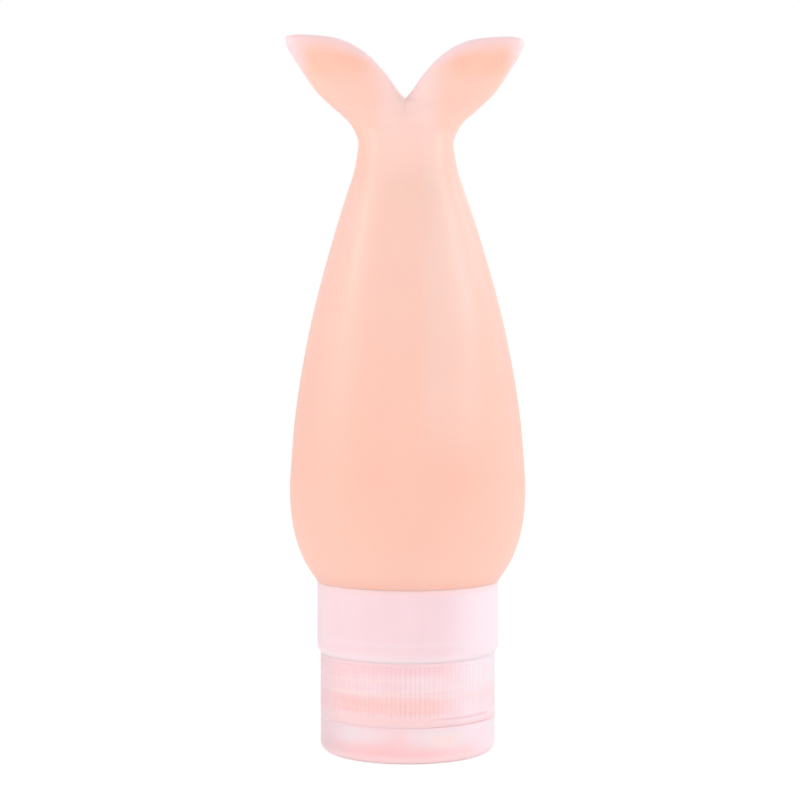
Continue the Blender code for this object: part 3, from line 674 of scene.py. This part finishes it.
ribs = {
    "count": 120, "depth": 0.13, "low": 8.75, "high": 18.4, "ease": (0.1, 0.25), "fullness": 0.8,
    "columnsEach": 6,
    # heights of the mesh's rows up the outer wall
    "rows": (8.62, 8.7, 8.85, 9.0, 9.3, 9.6, 9.66, 9.8, 10.5, 12, 14, 16, 17.6, 18.1, 18.25, 18.4,
             18.5, 19.085),
}
thumbNotch = {
    "middle": cap["hingeTurn"] + math.pi, "spread": math.radians(55), "top": 8.5, "depth": 0.22,
    "over": 0.01, "leftEase": math.radians(14), "rightEase": 0.12, "topEase": (0.06, -0.02),
    "rows": (-0.3, -0.02, 0.02, 0.06),
}
deck = {
    "top": 8.45, "socket": 7.4, "socketBore": 6.3, "socketTop": 11.25, "nozzle": 4.6,
    "nozzleBore": 2.6, "nozzleTip": 4.65, "lip": 15.2, "lipBore": 14.3, "lipTip": 6.35,
}


def angleFrom(angle, middle):
    # Signed difference of two angles, wrapped to a half turn each way.
    return (angle - middle + math.pi) % math.tau - math.pi


def padRadius(r, z, angle, low, high):
    # Where the hinge pad is, the wall is pushed out to a flat face: r = face / cos(a).
    away = angleFrom(angle, cap["hingeTurn"])
    flat = cap["padFace"] / np.cos(np.clip(away, -1, 1))
    reach, ease = math.asin(cap["padHalf"] / cap["padFace"]), cap["padRiseEase"]
    on = step(np.abs(away), reach + cap["padTurnEase"], reach)
    on = on * step(z, low - ease, low) * step(z, high + ease, high)
    return r + (flat - r) * on


def capShape(r, z, angle):
    # The outer wall is cut between the ribs by depth · ((1 - cos(n·a)) / 2)^fullness and again by
    # the thumb notch. The inside stays as it is.
    low, high, (out, into) = ribs["low"], ribs["high"], ribs["ease"]
    ribbed = step(z, low - out, low + into) * step(z, high + out, high - into)
    groove = ribs["depth"] * (0.5 - 0.5 * np.cos(ribs["count"] * angle)) ** ribs["fullness"]
    n = thumbNotch
    away = angleFrom(angle, n["middle"])
    half, over, (above, under) = n["spread"] / 2, n["over"], n["topEase"]
    notch = step(away, -half - over, -half + n["leftEase"])
    notch = notch * step(away, half + over, half - n["rightEase"])
    notch = notch * step(z, n["top"] + above, n["top"] + under)
    carved = r - groove * ribbed - n["depth"] * notch
    padded = padRadius(carved, z, angle, cap["floor"], cap["floor"] + cap["padHeight"])
    return np.where(r > cap["radius"] - 0.9, padded, r)


def capBase():
    # The profile runs up the outside, over the skirt's top, down its bore and round the valve's
    # socket, then back along the deck and the nozzle.
    d, radius, floor, top = deck, cap["radius"], cap["floor"], cap["skirtTop"]
    rim = radius - cap["edgeCut"]
    notchRows = [thumbNotch["top"] + rise for rise in thumbNotch["rows"]]
    outside = [(radius, h) for h in (floor + cap["edgeCut"], *notchRows, *ribs["rows"])]
    inner = roundedLoop([
        (rim, top, 0.004), (cap["skirtBore"], top, 0.2), (cap["skirtBore"], d["top"], 0.2),
        (d["socket"], d["top"], 0.2), (d["socket"], d["socketTop"], 0.15),
        (d["socketBore"], d["socketTop"], 0.2), (d["socketBore"], d["top"], 0.1),
        (d["nozzleBore"], d["top"], 0.25), (d["nozzleBore"], d["nozzleTip"], 0.15),
        (d["nozzle"], d["nozzleTip"], 0.6), (d["nozzle"], floor, 0.25), (d["lipBore"], floor, 0.1),
        (d["lipBore"], d["lipTip"], 0.2), (d["lip"], d["lipTip"], 0.3), (d["lip"], floor, 0.1)], 4)
    profile = np.vstack([[(rim, floor)], outside, inner])
    grid = turnedGrid(profile, ribs["count"] * ribs["columnsEach"], capShape)
    return gridMesh("ribbedCap", grid * mm, True, True, 40)


capLook = {
    "milk": (246, 212, 216), "clear": (246, 228, 236), "edge": (228, 201, 208),
    "seam": (255, 214, 219), "flange": (245, 199, 204), "gasket": (248, 195, 191),
    "ridge": (246, 198, 205), "gleam": (251, 222, 217), "under": (248, 208, 207),
    "foot": (249, 212, 213), "far": (240, 234, 240), "lip": (232, 188, 195),
    # rises, bands and scales as for the silicone
    "flangeBand": (17.9, 0.4, 1.4), "gasketBand": (11.0, 0.9, 0.9), "gleamBand": (13.0, 0.05, 0.3),
    "skirtRise": (8.6, 9.2), "rightWashRise": (12, 3), "leftEdge": (-11, -16), "litRightRise": (4, 13),
    "topSeamLight": (18.4, 18.9), "lowSeamLight": (7.5, 7.1), "underFall": (10.4, 8.9),
    "footFall": (8.3, 7.3), "threadRise": (11.4, 12.2), "threadFall": (16.6, 15.8),
    "threadMiddle": 13.9, "ridgeBand": (0, 0.25, 0.45), "troughBand": (0.95, 0.1, 0.3),
    "leftShadeRise": (-11.5, -16.5), "farRise": (6, 14), "farHeight": (12, 15),
    "notchShadowBand": (thumbNotch["top"], 0.12, 0.35), "notchShadowRise": (3.5, 10), "notchShadowFall": (15.6, 14.6),
    "cloudScale": 85, "flowScale": 220, "streakScale": 130, "grainScale": 1500,
}


def capFinish():
    # The bands are what the thin skirt lets through, blurred by the milk: flange, thread, gasket.
    # Painted highlights, painted light on the right and at the seams, and painted shade at the left
    # edge and along the thumb notch lie over them.
    c = capLook
    f = milkyFinish("milkyCap")
    at = f.place()
    x, y, z = f.millimetres(at)
    cloud = f.noise(at, c["cloudScale"], 3)
    flow = f.noise(at, c["flowScale"], 2, (1, 1, 0.08))
    level = z + (cloud - 0.5) * 0.45
    skirt = f.rise(z, *c["skirtRise"])
    # Where the bands show: they fade out to the right, washed out by painted light from the right,
    # and by half at the left edge
    thin = f.rise(x, *c["rightWashRise"]) * (1 - 0.5 * f.rise(x, *c["leftEdge"]))
    # Clearer milk in clouds, and paler towards the right with painted light from the right
    share = f.rise(cloud, 0.35, 0.7) * 0.5 + f.rise(x, *c["litRightRise"]) * 0.4
    tint = f.mix(share, c["milk"], c["clear"])
    tint = f.mix(f.bump(level, *c["flangeBand"]) * thin * 0.55, tint, c["flange"])
    # Paler under the collar: painted light lifting the shade at the seam
    tint = f.mix(f.rise(z, *c["topSeamLight"]) * 0.7, tint, c["seam"])
    # The thread's ridge stands at threadMiddle + lead · turn / 2π and again every lead
    turn = f.add("ShaderNodeMath", {"operation": "ARCTAN2"}, [y, x])
    ridgeHeight = c["threadMiddle"] + turn * (cap["lead"] / math.tau)
    climb = f.add("ShaderNodeMath", {"operation": "PINGPONG"},
                  [abs(z - ridgeHeight), cap["lead"] / 2])
    threaded = f.rise(z, *c["threadRise"]) * f.rise(z, *c["threadFall"])
    tint = f.mix(f.bump(climb, *c["ridgeBand"]) * threaded * thin * 0.35, tint, c["ridge"])
    # Painted highlight between the thread's turns
    tint = f.mix(f.bump(climb, *c["troughBand"]) * threaded * 0.4, tint, c["gleam"])
    tint = f.mix(f.rise(level, *c["underFall"]) * thin * 0.7, tint, c["under"])
    tint = f.mix(f.bump(level, *c["gasketBand"]) * skirt * thin * 0.75, tint, c["gasket"])
    # A painted highlight band
    tint = f.mix(f.bump(level, *c["gleamBand"]) * thin * 0.6, tint, c["gleam"])
    tint = f.mix(f.rise(z, *c["footFall"]) * 0.6, tint, c["foot"])
    # Painted highlight streaks
    streak = f.noise(at, c["streakScale"], 3, (0.2, 0.2, 3.5))
    tint = f.mix(f.rise(streak, 0.5, 0.72) * skirt * thin * 0.35, tint, c["gleam"])
    # Darker at the left edge: painted shade
    tint = f.mix(f.rise(x, *c["leftShadeRise"]) * 0.55, tint, c["edge"])
    # Paler at the right edge: painted light from the right
    tint = f.mix(f.rise(x, *c["farRise"]) * f.rise(z, *c["farHeight"]) * 0.6, tint, c["far"])
    # A painted shadow line along the thumb notch's upper edge, at the front
    lip = f.bump(z, *c["notchShadowBand"]) * f.rise(x, *c["notchShadowRise"]) * f.rise(x, *c["notchShadowFall"])
    tint = f.mix(lip * f.rise(y, 0, -3) * 0.5, tint, c["lip"])
    # Paler above the lid: painted light lifting the shade at the seam
    tint = f.mix(f.rise(z, *c["lowSeamLight"]) * 0.8, tint, c["seam"])
    f.feed("Base Color", tint)
    grain = f.noise(at, c["grainScale"], 2)
    f.feed("Roughness", 0.32 + 0.08 * cloud + 0.05 * grain)
    f.relief(flow * 0.7 + grain * 0.2, 0.02 * mm)
    return f


print("screw cap")
milkyCap = capFinish()
addPiece(capBase(), milkyCap, "cap", "cap_plastic", "cap_base")
# The cap's ridge runs half a lead above the neck's and starts a little further back along it
capThread = helix("capThread", cap["skirtBore"], -thread["depth"],
                  thread["start"] + cap["lead"] / 2 - thread["capDrop"], thread["capTurns"],
                  thread["phase"] - math.tau * thread["capDrop"] / cap["lead"])
addPiece(capThread, milkyCap, "cap", "cap_plastic")


# Slit valve and its ring

valve = {
    "radius": 6.0, "foot": 8.75, "top": 9.75, "cut": 0.2, "ledge": 4.1, "dome": 3.6,
    "domeThick": 0.5, "domeRows": 10, "columns": 96, "slitHalf": 2.2, "slitHalfWidth": 0.075,
    "bladeHeights": (8.0, 11.0),
    "look": {"light": (247, 240, 238), "dark": (243, 230, 228), "rough": 0.35, "roughSpan": 0.1,
             "cloudScale": 150, "grainScale": 1800, "depth": 0.01},
}
retainer = {
    "inner": 4.4, "outer": 6.0, "foot": 10.05, "top": 11.25, "columns": 96,
    "footRound": 0.15, "topRound": 0.3,
    "look": {"light": (248, 238, 238), "dark": (243, 228, 228), "rough": 0.25, "roughSpan": 0.1,
             "cloudScale": 150, "grainScale": 1800, "depth": 0.01},
}


def slitValve():
    # A turned disc with a shallow dome z = top - (top - foot) · (r / dome)².
    v = valve
    radius, foot, top, cut = v["radius"], v["foot"], v["top"], v["cut"]
    r = np.linspace(0, v["dome"], v["domeRows"])
    under = np.stack([r, top - (top - foot) * (r / v["dome"]) ** 2], axis=1)
    rim = [(radius - cut, foot), (radius, foot + cut), (radius, top - cut), (radius - cut, top),
           (v["ledge"], top)]
    profile = np.vstack([under, rim, under[::-1] + (0, v["domeThick"])])
    return gridMesh("slitValve", turnedGrid(profile, v["columns"]) * mm, False, True)


def cutSlits(piece):
    # Two thin blades cut the dome crosswise.
    long, thin = valve["slitHalf"], valve["slitHalfWidth"]
    sides = [(0, 1, 3, 2), (4, 6, 7, 5), (0, 4, 5, 1), (2, 3, 7, 6), (0, 2, 6, 4), (1, 5, 7, 3)]
    for k, (a, b) in enumerate(((long, thin), (thin, long))):
        corners = np.array([(x, y, z) for x in (-a, a) for y in (-b, b)
                            for z in valve["bladeHeights"]]) * mm
        blade = bpy.data.meshes.new(f"blade{k}")
        blade.from_pydata(corners.tolist(), [], sides)
        tool = linked(f"blade{k}", blade)
        cut = piece.modifiers.new(f"slit{k}", "BOOLEAN")
        cut.operation, cut.solver, cut.object = "DIFFERENCE", "EXACT", tool
        bakeModifiers(piece)
        bpy.data.objects.remove(tool, do_unlink=True)


def bakeModifiers(piece):
    # The evaluated mesh takes the place of the piece's own.
    graph = bpy.context.evaluated_depsgraph_get()
    done = bpy.data.meshes.new_from_object(piece.evaluated_get(graph))
    piece.modifiers.clear()
    piece.data = done


print("slit valve")
clearSilicone = cloudyFinish(milkyFinish("clearSilicone"), valve["look"])
cutSlits(addPiece(slitValve(), clearSilicone, "cap", "valve_silicone", "drip_valve"))
naturalPlastic = cloudyFinish(milkyFinish("naturalPlastic"), retainer["look"])
addPiece(flatRing("retainerRing", retainer), naturalPlastic, "cap", "retainer_plastic",
         "valve_retainer")


# Flip lid

lid = {
    "inner": 15.5, "plate": 1.4, "edgeRound": 1.8, "edgeRows": 8, "ringBore": 4.9, "ring": 5.8,
    "ringTop": 5.55, "plug": 2.3, "plugTop": 6.15, "cut": 0.2, "plugCut": 0.4, "rimCut": 0.15,
    # (radius, height) across the outer face with its moulding mark, and heights up the wall
    "face": ((0, 0), (0.6, 0), (0.7, 0), (0.85, 0.12), (1.15, 0.12), (1.3, 0), (1.4, 0), (8, 0),
             (14, 0)),
    "wall": (2.5, 4.2, 4.33, 4.4, 4.6, 5.5), "columns": 360,
}


def lidShape(r, z, angle):
    # The outer wall with the hinge pad pushed out of it.
    low, high = cap["lidHeight"] - cap["padHeight"], cap["lidHeight"]
    return np.where(r > cap["radius"] - 0.5, padRadius(r, z, angle, low, high), r)


def flipLid():
    # The profile starts in the middle of the outer face, rounds the edge, climbs the wall and comes
    # back over the plate, the sealing ring and the plug.
    d, radius, top, plate = lid, cap["radius"], cap["lidHeight"], lid["plate"]
    inner, ring, ringBore, plug, cut = d["inner"], d["ring"], d["ringBore"], d["plug"], d["cut"]
    a = np.linspace(-math.pi / 2, 0, d["edgeRows"])
    q = d["edgeRound"]
    edge = np.stack([radius - q + q * np.cos(a), q + q * np.sin(a)], axis=1)
    wall = [(radius, h) for h in (*d["wall"], top - cap["edgeCut"])]
    back = [(radius - cap["edgeCut"], top), (inner + d["rimCut"], top), (inner, top - d["rimCut"]),
            (inner, plate + 3 * cut), (inner - cut, plate + cut), (inner - 3 * cut, plate),
            (ring + cut, plate), (ring, plate + cut), (ring, d["ringTop"] - cut),
            (ring - cut, d["ringTop"]), (ringBore + cut, d["ringTop"]),
            (ringBore, d["ringTop"] - cut), (ringBore, plate), (plug, plate),
            (plug, d["plugTop"] - d["plugCut"]), (plug - d["plugCut"], d["plugTop"]),
            (0, d["plugTop"])]
    profile = np.vstack([d["face"], edge, wall, back])
    grid = turnedGrid(profile, d["columns"], lidShape)
    return gridMesh("flipLid", grid * mm, False, True, 40)


lidLook = {
    "milk": (247, 211, 214), "cloud": (240, 225, 230), "foot": (248, 200, 202),
    "rim": (248, 220, 222), "litFromRight": (243, 231, 240), "edge": (222, 204, 210),
    "seam": (255, 216, 221), "mist": (238, 224, 229), "pale": (246, 224, 219),
    # rises, bands and scales as for the silicone
    "footFall": (5.2, 1.4), "footRight": (3, 14), "litFromRightRise": (5, 16.5),
    "leftShadeRise": (-7.5, -16.5), "mistAcross": (-9, 3, 4), "mistUp": (5.3, 0.6, 1.6),
    "paleAcross": (6.8, 1.5, 3), "paleUp": (4.4, 0.5, 1.4), "seamRise": (6.5, 6.9),
    "bottomLightFall": (2.2, 0.6), "bottomLightOut": (12.5, 15), "cloudScale": 75, "wispScale": 260,
    "grainScale": 1500,
}


def lidFinish():
    # Clouds and wisps of pink in milk, warmer towards the foot. Painted light makes it paler at the
    # bottom rim, at the seam and on the right side, and painted shade darkens the left side.
    c = lidLook
    f = milkyFinish("milkyLid")
    at = f.place()
    x, y, z = f.millimetres(at)
    cloud = f.noise(at, c["cloudScale"], 3)
    wisp = f.noise(at, c["wispScale"], 4, (1, 1, 2.2))
    tint = f.mix(f.rise(cloud, 0.4, 0.65) * 0.8, c["milk"], c["cloud"])
    tint = f.mix(f.rise(wisp, 0.5, 0.8) * 0.25, tint, c["rim"])
    foot = f.rise(z + (cloud - 0.5) * 4, *c["footFall"])
    tint = f.mix(foot * (0.9 - 0.5 * f.rise(x, *c["footRight"])), tint, c["foot"])
    # Paler towards the right: painted light from the right
    tint = f.mix(f.rise(x, *c["litFromRightRise"]) * 0.4, tint, c["litFromRight"])
    # Darker at the left edge: painted shade
    tint = f.mix(f.rise(x, *c["leftShadeRise"]) * 0.65, tint, c["edge"])
    tint = f.mix(f.bump(x, *c["mistAcross"]) * f.bump(z, *c["mistUp"]) * 0.45, tint, c["mist"])
    tint = f.mix(f.bump(x, *c["paleAcross"]) * f.bump(z, *c["paleUp"]) * 0.6, tint, c["pale"])
    # Paler under the seam with the cap: painted light lifting its shade
    tint = f.mix(f.rise(z, *c["seamRise"]) * 0.8, tint, c["seam"])
    # The outer band of the bottom edge is paler: painted light lifting the shade where the lid
    # meets the floor
    rim = f.rise(z, *c["bottomLightFall"]) * f.rise(f.distance(x, y), *c["bottomLightOut"])
    tint = f.mix(rim * 0.9, tint, c["rim"])
    f.feed("Base Color", tint)
    grain = f.noise(at, c["grainScale"], 2)
    f.feed("Roughness", 0.32 + 0.08 * cloud + 0.05 * grain)
    f.relief(cloud + grain * 0.2, 0.02 * mm)
    return f


print("flip lid")
addPiece(flipLid(), lidFinish(), "lid", "lid_plastic", "flip_lid")


# Hinge strip

strip = {
    "width": 8.6, "thick": 0.45, "seat": 17.15, "reach": 2.5, "bow": 0.6, "sink": 0.2, "rows": 49,
    "columns": 9,
}


def acrossStrip(line, side):
    # Each point (out, up) of a line at every place to the side: (out, side, up).
    return np.stack(np.broadcast_arrays(line[:, :1], side, line[:, 1:]), axis=-1)


def closedEnd(row):
    # The middle between the front and back halves of a row, there and back, which closes the end.
    front, back = np.split(row, 2)
    middle = (front + back[::-1]) / 2
    return np.concatenate([middle, middle[::-1]])[None]


def hingeStrip():
    # A bowed band: its middle line (seat + bow · smoothstep, up) is thickened along its normal,
    # thinner at the fold, and carried across the hinge's width. The ends taper into the pads.
    s = strip
    up = np.linspace(-1, 1, s["rows"])
    bow = s["bow"] * step(1 - np.abs(up), 0.35, 1)
    taper = step(1 - np.abs(up), 0, 0.25)
    line = np.stack([s["seat"] + bow - s["sink"] * (1 - taper),
                     cap["hingeLine"] + s["reach"] * up], axis=1)
    along = np.gradient(line, axis=0)
    along /= np.linalg.norm(along, axis=1)[:, None]
    normal = np.stack([along[:, 1], -along[:, 0]], axis=1)
    away = np.abs(up)[:, None]
    half = s["thick"] / 2 * (0.7 + 0.3 * step(away, 0.05, 0.4)) * (0.15 + 0.85 * taper[:, None])
    front, back = line + normal * half, line - normal * half
    y = np.linspace(-0.5, 0.5, s["columns"]) * s["width"]
    loop = np.hstack([acrossStrip(front, y), acrossStrip(back, y[::-1])])
    grid = np.vstack([closedEnd(loop[0]), loop, closedEnd(loop[-1])])
    turn = cap["hingeTurn"]
    x, y, z = np.moveaxis(grid, -1, 0)
    grid = np.stack([x * math.cos(turn) - y * math.sin(turn),
                     x * math.sin(turn) + y * math.cos(turn), z], axis=-1)
    return gridMesh("hingeStrip", grid * mm, False, True)


print("hinge strip")
stripPiece = addPiece(hingeStrip(), milkyCap, None, "cap_plastic", "hinge_web")
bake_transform(stripPiece)


# Floor, world, lamps and camera

stage = {
    "floorSize": 60.0, "floorColour": (250, 249, 249), "floorRough": 0.8, "floorShow": 0.15,
    "floorGlow": 0.36, "floorShade": (145, 145, 145), "floorFall": (1400, 500),
    "worldLevel": 0.635, "lampAim": 0.07,
    # name: (azimuth from the camera in degrees, height above the aim, distance, width and height
    # of the box in metres, power, colour)
    "lamps": {
        "leftBox": (-76, 0.22, 0.5, 0.08, 0.46, 0.68, (1.0, 0.98, 0.98)),
        "rightBox": (79, 0.2, 0.5, 0.09, 0.5, 0.62, (0.97, 0.98, 1.0)),
        "frontFill": (-2, 0.08, 0.7, 0.5, 0.4, 0.96, (1.0, 1.0, 1.0)),
        "rightRim": (120, 0.1, 0.5, 0.16, 0.5, 0.29, (0.98, 0.97, 1.0)),
        "backRim": (160, 0.3, 0.6, 0.3, 0.3, 0.4, (1.0, 1.0, 1.0)),
    },
}


def floorFinish():
    # A pale floor under the bottle. The camera sees it faintly near the bottle, and not at all
    # further out or from below. Lamps shine through it, so that an opened lid shows under it.
    f = Finish("paleFloor", Base_Color=tone(stage["floorColour"]), Roughness=stage["floorRough"],
               Emission_Strength=stage["floorGlow"])
    camera = f.add("ShaderNodeLightPath", output="Is Camera Ray")
    shadow = camera.other("Is Shadow Ray")
    below = f.add("ShaderNodeNewGeometry", output="Backfacing")
    f.feed("Emission Color", f.mix(camera, stage["floorShade"], (255, 255, 255)))
    x, y, _ = f.millimetres(f.place())
    near = f.rise(f.distance(x, y), *stage["floorFall"])
    share = (1 - camera * (1 - near * stage["floorShow"])) * (1 - shadow) * (1 - below)
    clear = f.add("ShaderNodeBsdfTransparent")
    blend = f.add("ShaderNodeMixShader", values=[share, clear, Wire(f, f.shader.outputs[0])])
    f.tree.links.new(blend.socket, f.tree.nodes["Material Output"].inputs["Surface"])
    return f


def makeFloor():
    half = stage["floorSize"] / 2
    corners = [(-half, -half, 0), (half, -half, 0), (half, half, 0), (-half, half, 0)]
    mesh = bpy.data.meshes.new("floor")
    mesh.from_pydata(corners, [], [(0, 1, 2, 3)])
    floor = linked("floor", mesh)
    mesh.materials.append(floorFinish().material)


def makeWorld():
    # White where the camera, glass and gloss look, and dimmer as a light
    world = bpy.data.worlds.new("studio")
    bpy.context.scene.world = world
    world.use_nodes = True
    tree = world.node_tree
    path = tree.nodes.new("ShaderNodeLightPath")
    seen = path.outputs["Is Camera Ray"]
    for ray in ("Is Transmission Ray", "Is Glossy Ray"):
        either = tree.nodes.new("ShaderNodeMath")
        either.operation = "MAXIMUM"
        tree.links.new(seen, either.inputs[0])
        tree.links.new(path.outputs[ray], either.inputs[1])
        seen = either.outputs[0]
    level = tree.nodes.new("ShaderNodeMapRange")
    tree.links.new(seen, level.inputs[0])
    level.inputs[3].default_value = stage["worldLevel"]
    level.inputs[4].default_value = 1.0
    background = tree.nodes["Background"]
    background.inputs["Color"].default_value = (1, 1, 1, 1)
    tree.links.new(level.outputs[0], background.inputs["Strength"])


def makeLamps():
    for name, (azimuth, height, distance, wide, tall, power, shade) in stage["lamps"].items():
        data = bpy.data.lights.new(name, "AREA")
        data.shape, data.size, data.size_y, data.energy = "RECTANGLE", wide, tall, power
        data.color = shade
        lamp = linked(name, data)
        a = math.radians(azimuth)
        lamp.location = (math.sin(a) * distance, -math.cos(a) * distance,
                         height + stage["lampAim"])
        lamp.rotation_euler = (math.pi / 2 - math.atan2(height, distance), 0, a)


cameraSet = {"place": (-1.48, -422.6, 84.1), "down": math.radians(2.26), "lens": 99.0,
             "sensor": 36.0, "clip": (0.01, 100)}


def makeCamera():
    data = bpy.data.cameras.new("photoCamera")
    data.lens, data.sensor_width = cameraSet["lens"], cameraSet["sensor"]
    data.clip_start, data.clip_end = cameraSet["clip"]
    camera = linked("photoCamera", data)
    camera.location = [v * mm for v in cameraSet["place"]]
    camera.rotation_euler = (math.pi / 2 - cameraSet["down"], 0, 0)
    bpy.context.scene.camera = camera


print("stage")
makeFloor()
makeWorld()
makeLamps()
makeCamera()
bpy.context.scene.view_settings.view_transform = "Standard"
